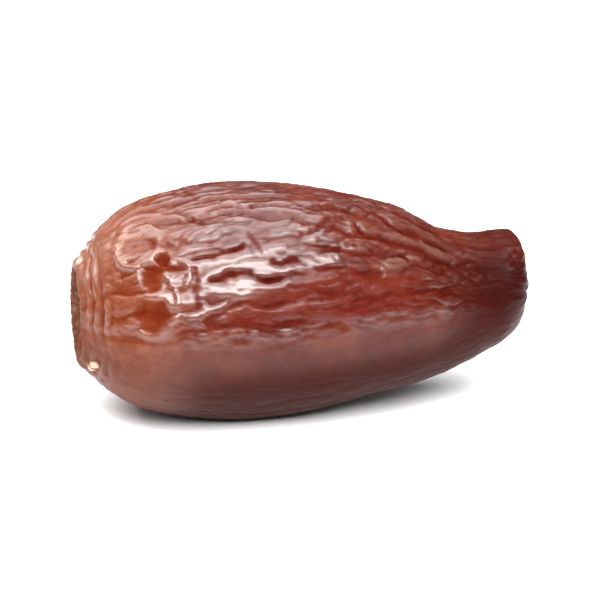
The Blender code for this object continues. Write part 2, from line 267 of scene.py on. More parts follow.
def blown_up(box):
    """Places on the ball for the box's points: rings at both ends, and even spacing between them."""
    ring = np.abs(box[:, 1:]).max(axis=1)
    share = (box[:, 0] + 1) / 2
    run = STEM_CAP + (1 - STEM_CAP - TIP_CAP) * share
    run = np.where(share == 0, STEM_CAP * ring, run)
    run = np.where(share == 1, 1 - TIP_CAP * ring, run)
    side = np.tan(box[:, 1:] * math.pi / 4)
    return ball_place(run, np.arctan2(side[:, 1], -side[:, 0]))


skin_mesh = box_mesh()
points, normals, along, across = surface(blown_up(np.array([vert.co for vert in skin_mesh.verts])))
print("the skin has", len(skin_mesh.verts), "points and", len(skin_mesh.faces), "faces")

# %% [markdown]
# ## The folds
# Folds of dried skin run the length of the fruit, but they meander, fork and end. Plain noise would make
# bumps of them, and a plain wave would make corduroy. A sum of many short waves does better: each patch of
# skin has its own wave with its own tilt and start, neighbours are added up, and only the sum's stage is
# kept. Where the patches agree the folds run on, and where they don't, a fold forks or stops.

# %% Points that wander
WANDER_SEEDS = (11, 12, 13)


def wandered(points, amount, spacing):
    """The points pushed about a little, so that what is drawn on them meanders."""
    shift = [soft_noise(points, spacing, seed) for seed in WANDER_SEEDS]
    return points + amount * np.stack(shift, axis=1)


drifting = wandered(points, amount=0.9, spacing=(5.0, 3.2, 3.2))
print("the folds wander by up to", round(float(np.abs(drifting - points).max()), 2), "mm")

# %% Patches of skin, spread evenly
GOLDEN_TURN = math.pi * (1 + math.sqrt(5))


def even_places(count):
    """Places on the ball whose points on the body are spread evenly, along a spiral by the golden angle."""
    step = np.arange(count) + 0.5
    radius = (OUTLINE_CURVE[1:, 1] + OUTLINE_CURVE[:-1, 1]) / 2
    area = np.concatenate([[0], np.cumsum(radius * np.diff(OUTLINE_RUN))])
    run = np.interp(step / count, area / area[-1], OUTLINE_RUN)
    return ball_place(run, step * GOLDEN_TURN)


print("the first of 100 patches is centred at", np.round(body(even_places(100))[0], 1))

# %% Waves that fork and end
# How far a patch reaches into the flesh in mm, and how many of its own sizes it reaches along the skin
PATCH_DEPTH = 3.0
PATCH_REACH = 3.5
# The least share of a patch that is still added, and the least weight of all patches at a point
LEAST_SHARE = 0.003
LEAST_WEIGHT = 1e-6
# How unlike each other the patches' spacings are
SPACING_SPREAD = 0.15
# How well the patches must agree for a fold to begin, and for it to be whole
AGREEMENT = (0.0, 0.14)


def fold_waves(points, spacing, length, breadth, tilt, patches, seed):
    """The stage of the fold's wave at each point, and from 0 to 1 how well the patches there agree."""
    reach = PATCH_REACH * max(length, breadth)
    rng = np.random.default_rng(seed)
    tilts = rng.normal(0, tilt, patches)
    rates = 2 * math.pi / (spacing * np.exp(rng.normal(0, SPACING_SPREAD, patches)))
    starts = rng.uniform(0, 2 * math.pi, patches)
    order = np.argsort(points[:, 0])
    sorted_points = points[order]
    total = np.zeros(len(points), complex)
    weight = np.full(len(points), LEAST_WEIGHT)
    patch_frames = surface(even_places(patches))
    for middle, normal, ahead, aside, lean, rate, start in zip(*patch_frames, tilts, rates, starts):
        first, last = np.searchsorted(sorted_points[:, 0], (middle[0] - reach, middle[0] + reach))
        offset = sorted_points[first:last] - middle
        u = offset @ ahead
        v = offset @ aside
        w = offset @ normal
        share = np.exp(-0.5 * ((u / length) ** 2 + (v / breadth) ** 2 + (w / PATCH_DEPTH) ** 2))
        near = np.flatnonzero(share > LEAST_SHARE)
        wave = rate * (v[near] * math.cos(lean) + u[near] * math.sin(lean)) + start
        total[first + near] += share[near] * np.exp(1j * wave)
        weight[first + near] += share[near]
    stage = np.empty(len(points))
    agreed = np.empty(len(points))
    stage[order] = np.angle(total)
    agreed[order] = ramp(np.abs(total) / weight, *AGREEMENT)
    return stage, agreed


# %% [markdown]
# Dried skin has broad pads with narrow valleys between them, so the wave is bent to that shape. Three sizes
# are laid over each other, as on the real skin: long folds, middle ones on their backs, and fine ones
# between.

# %% Long, middle and fine folds
# What the wave keeps at its lowest, so that a valley has a rounded bottom
VALLEY_FLOOR = 0.002


def folds(points, sharpness, mean, **wave):
    """Folds of one size, as shares of their height: broad pads above 0 and narrow valleys below it."""
    stage, agreed = fold_waves(points, **wave)
    pads = (np.cos(stage / 2) ** 2 + VALLEY_FLOOR) ** (sharpness / 2)
    return (pads - mean) * agreed


long_folds = folds(
    drifting, sharpness=0.5, mean=0.8,
    spacing=2.9, length=6.0, breadth=2.6, tilt=0.12, patches=330, seed=5,
)
middle_folds = folds(
    drifting, sharpness=0.34, mean=0.85,
    spacing=1.3, length=4.0, breadth=1.4, tilt=0.18, patches=1100, seed=8,
)
fine_folds = folds(
    wandered(points, amount=0.5, spacing=(2.2, 1.6, 1.6)), sharpness=0.4, mean=0.85,
    spacing=0.85, length=2.2, breadth=0.9, tilt=0.35, patches=2400, seed=9,
)
print("the long folds span", round(float(np.ptp(long_folds)), 2), "of their height")

# %% [markdown]
# Between the folds the skin is wrinkled and crinkled like thin paper. Noise folded up at 0 has thin
# valleys, and it is used coarsely for the wrinkles and finely for the crinkles. The lines between Voronoi
# cells give the net of the finest lines.

# %% Wrinkles, crinkles and cells
WRINKLE_BOTTOM = 0.03
WRINKLE_MEAN = 0.22
CELL_SPACING = (3.6, 1.35, 1.35)
CELL_LINE = 0.17
CELL_ROUNDING = 0.3


def wrinkle_noise(points, spacing, seed):
    """Noise folded up at 0: thin valleys between soft swellings, with a mean of about 0."""
    return np.hypot(soft_noise(points, spacing, seed), WRINKLE_BOTTOM) - WRINKLE_MEAN


def cell_edges(points, spacing, half_width):
    """Lines round cells of the given spacing: 1 on a line and 0 a few half widths away from it."""
    edges = []
    for point in points / np.array(spacing):
        nearest = noise.voronoi(Vector(point))[0]
        edges.append((nearest[1] - nearest[0]) * spacing[-1])
    return np.exp(CELL_ROUNDING - np.hypot(np.array(edges) / half_width, CELL_ROUNDING))


small_drift = wandered(points, amount=0.35, spacing=(1.6, 1.1, 1.1))
wrinkles = wrinkle_noise(small_drift, spacing=(5.0, 1.9, 1.9), seed=21)
crinkles = wrinkle_noise(small_drift, spacing=(1.5, 0.8, 0.8), seed=22)
cells = cell_edges(wandered(points, amount=0.45, spacing=(2.0, 1.5, 1.5)), CELL_SPACING, CELL_LINE)
print(f"{100 * (cells > 0.5).mean():.0f} % of the skin lies on the line between two cells")

# %% [markdown]
# ## Where the skin is calm
# The underside stayed plump and is almost smooth, with a boundary that wanders along the side. Folds also
# fade out on the stalk's scar and weaken a little at the tip. One share for each point of the skin says
# how strong they are.

# %% Strength of the folds
SCAR_RADIUS = 5.2
# Where the folds start on the side that shows: distance from the stem end, and angle above the side's middle
FOLD_START = ((0.0, -14.0), (8.8, 2.0), (21.8, 0.0), (28.7, 9.0), (33.5, 9.0), (48.0, -5.0))
FOLD_START_BACK = -24.0
FOLD_START_BLEND = 11.0
CALM_SHARE = 0.2
# Distances beyond the scar's edge at which the folds begin and are whole
SCAR_CALM = (1.0, 6.0)
# Distances from the tip between which they grow from this share to the whole
TIP_CALM = (0.5, 5.0)
TIP_SHARE = 0.75
# Fields of close creases, where folds by chance would clash with them: place of the middle, and half size
CARVED_FIELDS = (((16.5, 34.0), (7.5, 24.0)), ((34.5, 64.0), (6.5, 24.0)))
CARVED_EDGE = (0.8, 1.2)
CARVED_SHARE = 0.5


def fold_strength(points):
    """How strong the folds are: least on the underside, none on the scar, a little weaker at the very tip."""
    x = points[:, 0]
    back = ramp(points[:, 1], -HALF_HEIGHT / 2, HALF_HEIGHT / 2)
    start = np.interp(x, *np.array(FOLD_START).T) * (1 - back) + FOLD_START_BACK * back
    lively = ramp(side_angle(points) - start, -FOLD_START_BLEND, FOLD_START_BLEND)
    from_stalk = ramp(np.linalg.norm(points, axis=1) - SCAR_RADIUS, *SCAR_CALM)
    from_tip = at_least(TIP_SHARE, ramp(LENGTH - x, *TIP_CALM))
    shares = at_least(CALM_SHARE, lively) * from_stalk * from_tip
    turn = turn_angle(points)
    for middle, size in CARVED_FIELDS:
        distance = np.hypot((x - middle[0]) / size[0], (turn - middle[1]) / size[1])
        shares *= at_least(CARVED_SHARE, ramp(distance, *CARVED_EDGE))
    return shares


strength = fold_strength(points)
print("the folds are strong at", round(100 * float((strength > 0.5).mean())), "% of the points")

# %% Lay the folds over each other
LONG_HEIGHT = 0.42
MIDDLE_HEIGHT = 0.36
FINE_HEIGHT = 0.24
WRINKLE_HEIGHT = 0.15
# On the half towards the tip the long folds keep this share of their height
TIP_HALF = (24.0, 32.0)
TIP_HALF_SHARE = 0.6

uneven = patchy(points, mean=0.75, swing=0.5, spacing=(9.0, 5.0, 5.0), seed=32)
fine_share = patchy(points, mean=0.6, swing=0.8, spacing=(5.0, 3.5, 3.5), seed=33)
long_height = LONG_HEIGHT * (1 - (1 - TIP_HALF_SHARE) * ramp(points[:, 0], *TIP_HALF))
relief = long_height * long_folds + MIDDLE_HEIGHT * middle_folds * uneven + WRINKLE_HEIGHT * wrinkles
relief = strength * (relief + FINE_HEIGHT * fine_folds * fine_share)
print("folds reach from", round(float(relief.min()), 2), "to", round(float(relief.max()), 2), "mm")

# %% [markdown]
# ## Creases, dimples and ridges of the side that shows
# Chance gives the right kind of skin, but the eye finds the few strong creases first. Those are placed one
# by one, as a carver would: each is a curve through a few places on the skin, with a depth and a width. A
# place is a distance from the stem end in millimetres and a turn in degrees, 0 at -Y and 90 on top.

# %% Near a curve on the skin
CURVE_STEPS = 8


def beside_curve(points, places, reach):
    """Which points lie near a curve through places on the skin, how far each is from the curve's own points,
    and the share of the curve before each of those."""
    curve = smooth_curve([skin_place(place) for place in places], CURVE_STEPS)[1]
    near = np.all((points > curve.min(axis=0) - reach) & (points < curve.max(axis=0) + reach), axis=1)
    distance = np.linalg.norm(points[near, None] - curve[None], axis=2)
    return near, distance, np.linspace(0, 1, len(curve))


print("a curve has", CURVE_STEPS, "points from one of its places to the next")

# %% Creases
# Depth, half width, and the places that each crease runs through
CREASES = (
    (0.34, 0.34, ((9.4, 82), (11.1, 69), (12.3, 65), (13.7, 63), (16.2, 61), (18.6, 60))),
    (0.26, 0.30, ((12.9, 70), (13.6, 71), (14.5, 73), (15.7, 73), (17.2, 71))),
    (0.26, 0.30, ((17.6, 70), (18.4, 71), (20.4, 71), (22.1, 69), (24.0, 69))),
    (0.22, 0.30, ((8.9, 57), (9.6, 56), (11.0, 52), (12.7, 52), (14.0, 53))),
    (0.40, 0.40, ((10.2, 45), (11.4, 44), (12.6, 44), (14.1, 46), (15.6, 47), (16.6, 49))),
    (0.17, 0.32, ((10.9, 42), (10.7, 37), (11.1, 32), (10.8, 27), (11.0, 21), (10.6, 16))),
    (0.46, 0.44, ((11.4, 32), (13.2, 32), (14.7, 34), (16.4, 33), (17.5, 31), (19.1, 30), (20.2, 31))),
    (0.32, 0.40, ((10.9, 11), (11.7, 13), (13.0, 15), (15.2, 20), (17.2, 18), (19.1, 19), (20.6, 21))),
    (0.12, 0.40, ((10.4, -1), (12.7, 0), (14.6, 2), (16.9, 3))),
    (0.42, 0.40, ((28.2, 77), (30.6, 75), (32.6, 66), (35.4, 62), (38.1, 61), (41.0, 54))),
    (0.34, 0.36, ((28.8, 96), (30.4, 92), (32.3, 83), (34.9, 77), (37.3, 76), (39.5, 71))),
    (0.40, 0.38, ((27.4, 66), (28.9, 56), (31.3, 54), (34.1, 52), (37.2, 48), (39.6, 46))),
    (0.28, 0.32, ((32.0, 47), (34.0, 42), (36.4, 39), (38.6, 38))),
    (0.30, 0.36, ((25.4, 31), (26.7, 32), (28.5, 33), (31.0, 35))),
    (0.34, 0.42, ((26.6, 17), (27.9, 18), (30.2, 20), (33.0, 23), (36.6, 26), (40.0, 28))),
    (0.26, 0.34, ((21.6, 19), (22.8, 20), (25.6, 21))),
    (0.22, 0.34, ((21.2, 14), (22.4, 15), (24.6, 15), (26.4, 17))),
    (0.17, 0.30, ((16.6, 55), (16.9, 52), (17.5, 48), (17.8, 43))),
    (0.28, 0.34, ((18.4, 41), (19.7, 38), (21.0, 39), (23.0, 38))),
    (0.18, 0.32, ((21.4, 50), (22.3, 52), (23.7, 54), (25.0, 60), (25.8, 66))),
)
# The share of a crease over which it fades at either end, and what is left of its width there
CREASE_FADE = 0.15
CREASE_END_WIDTH = 0.4
# How far a crease reaches and how wide its valley is, in half widths
CREASE_REACH = 5
VALLEY_WIDTH = 0.8
# The valley's rounding and steepness, and how far away the swelling beside it lies, in valley widths
VALLEY_ROUNDING = 0.3
VALLEY_STEEPNESS = 1.3
SWELLING_PLACE = 2.4
# The swelling's height, as a share of the crease's depth
SWELLING_SHARE = 0.2


def crease_relief(points):
    """What the creases take away: a narrow valley along each curve, with a soft swelling beside it."""
    relief = np.zeros(len(points))
    for depth, half_width, places in CREASES:
        near, distance, share = beside_curve(points, places, CREASE_REACH * half_width)
        fade = window(share, 0, CREASE_FADE, 1 - CREASE_FADE, 1)
        narrowed = at_least(CREASE_END_WIDTH, fade)
        distance = distance / (VALLEY_WIDTH * half_width * narrowed)
        slope = VALLEY_STEEPNESS * (np.hypot(distance, VALLEY_ROUNDING) - VALLEY_ROUNDING)
        valley = (fade * np.exp(-slope)).max(axis=1)
        swelling = (fade * bell(distance - SWELLING_PLACE)).max(axis=1)
        relief[near] += depth * (SWELLING_SHARE * swelling * (1 - valley) - valley)
    return relief


ragged_points = wandered(points, amount=0.4, spacing=(2.4, 1.6, 1.6))
ragged_points = wandered(ragged_points, amount=0.13, spacing=(0.8, 0.6, 0.6))
creased = crease_relief(ragged_points) * patchy(points, mean=0.9, swing=0.5, spacing=(1.8, 1.2, 1.2), seed=34)
relief += creased
print(len(CREASES), "creases, the deepest", round(float(-creased.min()), 2), "mm")

# %% [markdown]
# A dimple is a rounded hollow with a thin lip of skin round it, and thin ridges of skin stand up between
# the dimples. Both could be sculpted with a brush, but a short list of places can be read and changed.

# %% Dimples
# Place, half length, half breadth, depth, and height of the lip round it. A pad is a dimple with a depth
# below 0 and no lip
DIMPLES = (
    ((5.5, 58), 1.6, 1.9, 0.0, 0.23),
    ((7.9, 46), 0.65, 0.7, 0.55, 0.08),
    ((6.5, 36), 1.0, 1.4, 0.34, 0.10),
    ((6.3, 16), 1.6, 1.5, 0.38, 0.10),
    ((15.2, 26), 3.8, 0.9, -0.20, 0.0),
    ((15.0, 40), 3.6, 0.9, -0.12, 0.0),
)
DIMPLE_STEEPNESS = 2.6
# The lip's place and width, in the dimple's own half sizes
LIP_PLACE = 1.35
LIP_WIDTH = 0.3
# How much of the plain distance counts, so that a dimple doesn't show on the far side of the date
PLAIN_SHARE = 0.5


def dimple_relief(points, along, across):
    """The height that the dimples take away, and the lip that stands up round each."""
    relief = np.zeros(len(points))
    for place, half_length, half_breadth, depth, lip in DIMPLES:
        offset = points - skin_place(place)
        u = np.sum(offset * along, axis=1) / half_length
        v = np.sum(offset * across, axis=1) / half_breadth
        plain = np.linalg.norm(offset, axis=1) / max(half_length, half_breadth)
        distance = np.maximum(np.hypot(u, v), PLAIN_SHARE * plain)
        relief -= depth * np.exp(-(distance ** DIMPLE_STEEPNESS))
        relief += lip * bell((distance - LIP_PLACE) / LIP_WIDTH)
    return relief


dimpled = dimple_relief(wandered(points, amount=0.5, spacing=(1.9, 1.5, 1.5)), along, across)
print(len(DIMPLES), "dimples and pads, the deepest", round(float(-dimpled.min()), 2), "mm")

# %% Ridges between the dimples
RIDGE_HEIGHT = 0.22
RIDGE_HALF_WIDTH = 0.27
RIDGE_REACH = 4
# The share of a ridge over which it fades at either end
RIDGE_FADE = 0.2
# The places that each ridge runs through
RIDGES = (
    ((3.5, 66), (3.4, 58), (4.2, 46), (5.4, 42), (7.2, 41)),
    ((7.3, 41), (8.3, 33), (8.9, 25), (8.8, 17), (7.7, 11)),
    ((9.0, 46), (10.1, 41), (10.2, 34), (9.8, 28)),
    ((1.5, 62), (1.1, 45), (1.2, 28), (1.0, 10), (1.4, -12)),
    ((2.4, 46), (2.0, 34), (2.2, 20), (2.0, 6)),
)


def ridge_relief(points):
    """The height of the thin ridges of skin that stand up between the dimples."""
    relief = np.zeros(len(points))
    for places in RIDGES:
        near, distance, share = beside_curve(points, places, RIDGE_REACH * RIDGE_HALF_WIDTH)
        fade = window(share, 0, RIDGE_FADE, 1 - RIDGE_FADE, 1)
        relief[near] += RIDGE_HEIGHT * (fade * bell(distance / RIDGE_HALF_WIDTH)).max(axis=1)
    return relief


ridged = ridge_relief(wandered(points, amount=0.35, spacing=(2.4, 1.6, 1.6)))
print(len(RIDGES), "ridges, the highest", round(float(ridged.max()), 2), "mm")

# %% [markdown]
# The skin between the creases isn't domed. It is stretched flat over the flesh, so the tops of the folds
# are cut down softly to one level. Broad flat pads catch the light as a whole, and fine crinkles then break
# it up.

# %% Flat pads with a fine crinkle
PAD_LEVEL = 0.15
PAD_SOFTNESS = 0.09
CRINKLE_HEIGHT = 0.12
CELL_DEPTH = 0.10
# A hollow is crinkled by this share for each mm of its depth, counted down to a limit
HOLLOW_CRINKLE = 0.6
HOLLOW_LIMIT = 0.4


def flattened(relief):
    """The relief with everything above the pads' level pressed down to it, softly."""
    return PAD_LEVEL - PAD_SOFTNESS * np.logaddexp(0, (PAD_LEVEL - relief) / PAD_SOFTNESS)


crinkled = np.sqrt(strength) * uneven * (CRINKLE_HEIGHT * crinkles - CELL_DEPTH * cells)
crinkled += HOLLOW_CRINKLE * crinkles * np.clip(-dimpled, 0, HOLLOW_LIMIT)
relief = flattened(relief) + crinkled + dimpled + ridged
print("the relief now spans", round(float(np.ptp(relief)), 2), "mm")

# %% [markdown]
# ## The scar
# The fruit hung from a stalk by a cap that came away when it was picked. It leaves a shallow dish with a
# ragged, dry rim, a pit where the strand ran in, and fibres that run out from it. The skin round it is
# gathered into rings and small puckers. A modelled cap end could be joined on, but a formula of the
# distance from the scar's middle and the angle round it raises the same mesh, so the skin has no seam.

# %% Distance and angle round the scar
# How far the rim wanders in and out in mm, and how far its torn edge does, with their bumps for each radian
RIM_WANDER = 0.45
RIM_WANDER_RATE = 2.2
TORN_EDGE = 0.3
TORN_EDGE_RATE = 7.0


def around(points, middle):
    """The distance from a point of the middle line, and the angle round that line in radians."""
    offset = points - middle
    return np.linalg.norm(offset, axis=1), np.arctan2(offset[:, 2], offset[:, 1])


def rim_noise(angle, rate, seed):
    """Noise that runs round the rim and meets itself."""
    ring = np.stack([np.cos(angle), np.sin(angle), 0 * angle], axis=1)
    return soft_noise(rate * ring, spacing=(1, 1, 1), seed=seed)


scar_distance, scar_angle = around(points, [0.0, 0.0, CENTRE_RISE[0]])
scar_edge = SCAR_RADIUS + RIM_WANDER * rim_noise(scar_angle, RIM_WANDER_RATE, seed=41)
scar_edge += TORN_EDGE * rim_noise(scar_angle, TORN_EDGE_RATE, seed=42)
print("the scar's radius lies between", np.round([scar_edge.min(), scar_edge.max()], 1), "mm")

# %% The stalk's scar
SCAR_DEPTH = 1.0
SCAR_FLOOR_SHARE = 0.35
SCAR_RIM_HEIGHT = 0.45
SCAR_RIM_WIDTH = 0.55
SCAR_PIT_RADIUS = 1.1
SCAR_PIT_DEPTH = 1.1
# Distances beyond the edge at which the scar's dry lining ends and is whole
LINING_EDGE = (0.8, -0.6)
FIBRE_COUNT = 34
FIBRE_HEIGHT = 0.06
FIBRE_WAVER = 6.0
FIBRE_START = (0.8, 2.6)


def scar_relief(points, distance, angle, edge):
    """The scar's height, where its dry lining is, and the fibres of the lining."""
    dish = SCAR_DEPTH * ramp(distance, edge, edge * SCAR_FLOOR_SHARE)
    pit = SCAR_PIT_DEPTH * bell(distance / SCAR_PIT_RADIUS)
    rim = SCAR_RIM_HEIGHT * bell((distance - edge) / SCAR_RIM_WIDTH)
    lining = ramp(distance - edge, *LINING_EDGE)
    waver = FIBRE_WAVER * soft_noise(points, spacing=(2.0, 1.1, 1.1), seed=47)
    fibres = lining * ramp(distance, *FIBRE_START) * np.cos(FIBRE_COUNT * angle + waver)
    return rim - dish - pit + FIBRE_HEIGHT * fibres, lining, fibres


scarred, on_scar, fibres = scar_relief(points, scar_distance, scar_angle, scar_edge)
print("the scar is", round(float(-scarred.min()), 1), "mm deep")

# %% Skin gathered round the scar
PUCKER_HEIGHT = 0.05
PUCKER_COUNT = 23
PUCKER_WAVER = 3.0
PUCKER_WAVER_RATE = 1.4
RING_HEIGHT = 0.14
RING_SPACING = 1.15
RING_WAVER = 2.0
RING_PATCHES = (3.5, 3.5, 3.5)
# The share of their height that the rings have on the whole, and how much it differs between patches
RING_SHARE = 0.6
RING_SWING = 0.8
# Distances from the scar's middle at which each begins, is whole, wanes and ends
PUCKER_BAND = (SCAR_RADIUS, SCAR_RADIUS + 1.2, 6.5, 9.0)
RING_BAND = (SCAR_RADIUS + 0.4, SCAR_RADIUS + 1.2, 7.5, 10.5)


def gathered_skin(points, distance, angle, edge):
    """The height of the small puckers that run away from the scar and of the rings that run round it."""
    waver = PUCKER_WAVER * rim_noise(angle, PUCKER_WAVER_RATE, seed=43)
    puckers = PUCKER_HEIGHT * window(distance, *PUCKER_BAND) * np.cos(PUCKER_COUNT * angle + waver)
    patch = soft_noise(points, RING_PATCHES, seed=45)
    rings = np.cos(2 * math.pi * (distance - edge) / RING_SPACING + RING_WAVER * patch)
    return puckers + RING_HEIGHT * window(distance, *RING_BAND) * (RING_SHARE + RING_SWING * patch) * rings


gathered = gathered_skin(points, scar_distance, scar_angle, scar_edge)
print("rings and puckers stand", round(float(gathered.max()), 2), "mm high")

# %% Papery flecks
# Places of the scraps of the cap that stuck to the scar's rim
FLECKS = ((0.35, 84), (0.7, -44), (0.9, -36))
FLECK_RADIUS = 0.42
FLECK_HEIGHT = 0.24
FLECK_RAGGED = 0.9
# The shares of the radius at which a fleck ends and is whole
FLECK_EDGE = (1.3, 0.7)


def fleck_share(points):
    """1 on a fleck and 0 beside it."""
    distance = np.min([np.linalg.norm(points - skin_place(place), axis=1) for place in FLECKS], axis=0)
    ragged = FLECK_RADIUS * (1 + FLECK_RAGGED * soft_noise(points, spacing=(0.7, 0.7, 0.7), seed=46))
    return ramp(distance / ragged, *FLECK_EDGE)


on_fleck = fleck_share(points)
print(len(FLECKS), "flecks lie on", int((on_fleck > 0.5).sum()), "points")

# %% [markdown]
# ## The tip
# At the other end the flower left a small dry point, and the skin is drawn towards it in deep puckers. They
# are waves of the angle round the tip, bent so that each is a round pad with a sharp valley beside it.

# %% Dry point and puckers
TIP_HEIGHT = 0.35
TIP_RADIUS = 0.9
TIP_PUCKER_HEIGHT = 0.3
TIP_PUCKER_COUNT = 15
TIP_PUCKER_WAVER = 2.5
TIP_PUCKER_SHARPNESS = 0.5
# Distances from the dry point at which the puckers begin, are whole, wane and end
TIP_PUCKER_BAND = (0.8, 2.2, 3.2, 6.2)


def tip_relief(points):
    """The height of the dry point and of the puckers that run into it, and where the dry point is."""
    distance, angle = around(points, [LENGTH, 0.0, CENTRE_RISE[-1]])
    waver = TIP_PUCKER_WAVER * soft_noise(points, spacing=(2.2, 1.8, 1.8), seed=49)
    puckers = np.abs(np.cos(TIP_PUCKER_COUNT * angle / 2 + waver)) ** TIP_PUCKER_SHARPNESS - 0.5
    on_tip = bell(distance / TIP_RADIUS)
    return TIP_HEIGHT * on_tip + TIP_PUCKER_HEIGHT * window(distance, *TIP_PUCKER_BAND) * puckers, on_tip


tip_raised, on_tip = tip_relief(points)
print("the tip's puckers and point stand", round(float(tip_raised.max()), 2), "mm high")

# %% [markdown]
# ## The finished skin
# The relief is added along the normals. The date lies on its side, and its soft skin is flattened where it
# touches, so points below the resting level are brought up to it. The height without the scar's dish is
# kept, because the finish follows it. The valleys are deeper than the pads are high, so the folded skin is
# raised a little as a whole, to keep the date at its size.

# %% Raise the skin and place it
SKIN_RISE = 0.13
REST_CUT = 0.55

height = relief + gathered + tip_raised + FLECK_HEIGHT * on_fleck
raised = height + scarred + SKIN_RISE * strength
skin_points = points + normals * raised[:, None]
rest_level = skin_points[:, 2].min() + REST_CUT
skin_points[:, 2] = np.maximum(skin_points[:, 2], rest_level)
low = skin_points.min(axis=0)
high = skin_points.max(axis=0)
skin_points -= [(low[0] + high[0]) / 2, (low[1] + high[1]) / 2, low[2]]
for vert, point in zip(skin_mesh.verts, skin_points * MM):
    vert.co = point
bmesh.ops.recalc_face_normals(skin_mesh, faces=skin_mesh.faces)
print("the skin measures", np.round(high - low, 1), "mm")

# %% The skin as a piece
skin_data = bpy.data.meshes.new("date_skin")
skin_mesh.to_mesh(skin_data)
skin_mesh.free()
skin_data.shade_smooth()
date_skin = bpy.data.objects.new("date_skin", skin_data)
bpy.context.scene.collection.objects.link(date_skin)
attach(date_skin, "root")
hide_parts("date")
print(date_skin.name, "has", len(skin_data.polygons), "faces")

# %% [markdown]
# ## Where the finish changes
# The skin's thin shiny film lies whole on the pads, sinks away in the folds, is thin on the calm underside
# and is worn off a red band along the side. A picture could be painted for that, but it would need an
# unwrapped mesh. Instead each point gets a few values that are worked out from its place and its height,
# and the material reads them as attributes. x is the distance from the stem end, and turn goes round from
# the side that shows.

# %% Ends and underside
# Each pair is where the ramp starts and ends: in mm from the stem end, or in degrees
EDGE_WANDER = 6.0
STEM_SIDE = (15.0, 4.0)
TIP_SHADE_ALONG = (33.0, 45.0)
TIP_TOP = (35.0, 60.0)
TIP_TOP_LESS = 0.45
LOW_DOWN = (10.0, -8.0)
UNDERSIDE = (6.0, -30.0)
STEM_UNDERSIDE_LESS = 0.7

x = points[:, 0]
turn = turn_angle(points) + EDGE_WANDER * soft_noise(points, spacing=(6.0, 4.0, 4.0), seed=51)
stem_side = ramp(x, *STEM_SIDE)
# Painted shade: the flesh's colour is painted darker towards the tip, less so on its top
tip_painted_shade = ramp(x, *TIP_SHADE_ALONG) * (1 - TIP_TOP_LESS * ramp(turn, *TIP_TOP))
low_down = ramp(side_angle(points), *LOW_DOWN)
# Painted shade: the flesh's colour is painted darker on the underside, less so at the stem end; the same
# share also thins the film at the very bottom
underside_and_painted_shade = ramp(side_angle(points), *UNDERSIDE) * (1 - STEM_UNDERSIDE_LESS * stem_side)
print("the underside takes up", round(100 * float((underside_and_painted_shade > 0.5).mean())), "% of the points")

# %% The band where the film is worn off
BARE_ALONG = (11.0, 16.0, 31.0, 38.0)
BARE_FOOT = (4.0, 10.0)
# The band's upper edge rises from one turn to another between two distances, and is this soft either way
BARE_TOP = ((14.0, 22.0), (17.0, 32.0))
BARE_TOP_BLEND = 4.0

bare_top = np.interp(x, *BARE_TOP)
bare = window(x, *BARE_ALONG) * window(turn, *BARE_FOOT, bare_top - BARE_TOP_BLEND, bare_top + BARE_TOP_BLEND)
print("the bare band takes up", round(100 * float((bare > 0.5).mean())), "% of the points")

# %% The film on the pads
# The film goes from none to whole between these heights of the relief
FILM_HEIGHT = (-0.13, 0.04)
# On top of the date it also runs down into the folds, thinly
TOP_ALONG = (1.0, 5.0, 20.0, 30.0)
TOP_ROUND = (44.0, 60.0, 112.0, 128.0)
TOP_FOLD_HEIGHT = (-0.4, -0.2)
TOP_FOLD_FILM = 0.34
# Its pads there have less film, but for a stretch with this middle and half length
TOP_LESS = 0.25
TOP_WHOLE = 15.5
TOP_WHOLE_LENGTH = 6.0

on_top = window(x, *TOP_ALONG) * window(turn, *TOP_ROUND)
beside_whole = 1 - bell((x - TOP_WHOLE) / TOP_WHOLE_LENGTH)
pad_film = np.interp(height, FILM_HEIGHT, (0, 1)) * (1 - TOP_LESS * on_top * beside_whole)
pad_film = np.maximum(pad_film, TOP_FOLD_FILM * on_top * np.interp(height, TOP_FOLD_HEIGHT, (0, 1)))
print("film on the pads:", round(float(pad_film.mean()), 2), "on average")

# %% The film as a whole
# What the calm side and the very bottom have, and where on the underside the one turns into the other
LOW_FILM = 0.24
BOTTOM_FILM = 0.03
BOTTOM = (0.4, 1.0)
# How much of it is worn off the bare band
BARE_LESS = 0.8
# It ends towards the tip, and comes back thinly on the tip's puckers
FILM_END = (35.0, 43.0)
TIP_FILM = 0.16
TIP_FILM_START = (43.5, 46.5)
# Below the shoulder the skin round the scar is duller
STEM_LESS = 0.4
STEM_DULL = (7.5, 3.5)
STEM_DULL_TURN = (60.0, 40.0)

low_film = LOW_FILM + (BOTTOM_FILM - LOW_FILM) * ramp(underside_and_painted_shade, *BOTTOM)
film = pad_film * (1 - low_down) + low_film * low_down
film *= (1 - BARE_LESS * bare) * (1 - ramp(x, *FILM_END))
film += TIP_FILM * pad_film * ramp(x, *TIP_FILM_START)
film *= 1 - STEM_LESS * ramp(x, *STEM_DULL) * ramp(turn, *STEM_DULL_TURN)
film *= (1 - on_scar) * (1 - on_fleck)
print("film on the whole skin:", round(float(film.mean()), 2), "on average")

# %% Where the skin is redder, and where sheen is painted
RED_SHARE = 0.2
# Painted sheen: a paler colour on the shoulder beside the scar and on the tops of the ridges that run to the
# tip
PAINTED_SHEEN_SHARE = 0.22
SHOULDER_ALONG = (7.2, 3.2)
SHOULDER_ROUND = (40.0, 65.0, 115.0, 140.0)
RIDGE_TOP_HEIGHT = (-0.05, 0.10)
RIDGE_TOP_ALONG = (27.0, 31.0, 34.0, 42.0)
RIDGE_TOP_ROUND = (32.0, 42.0, 80.0, 95.0)

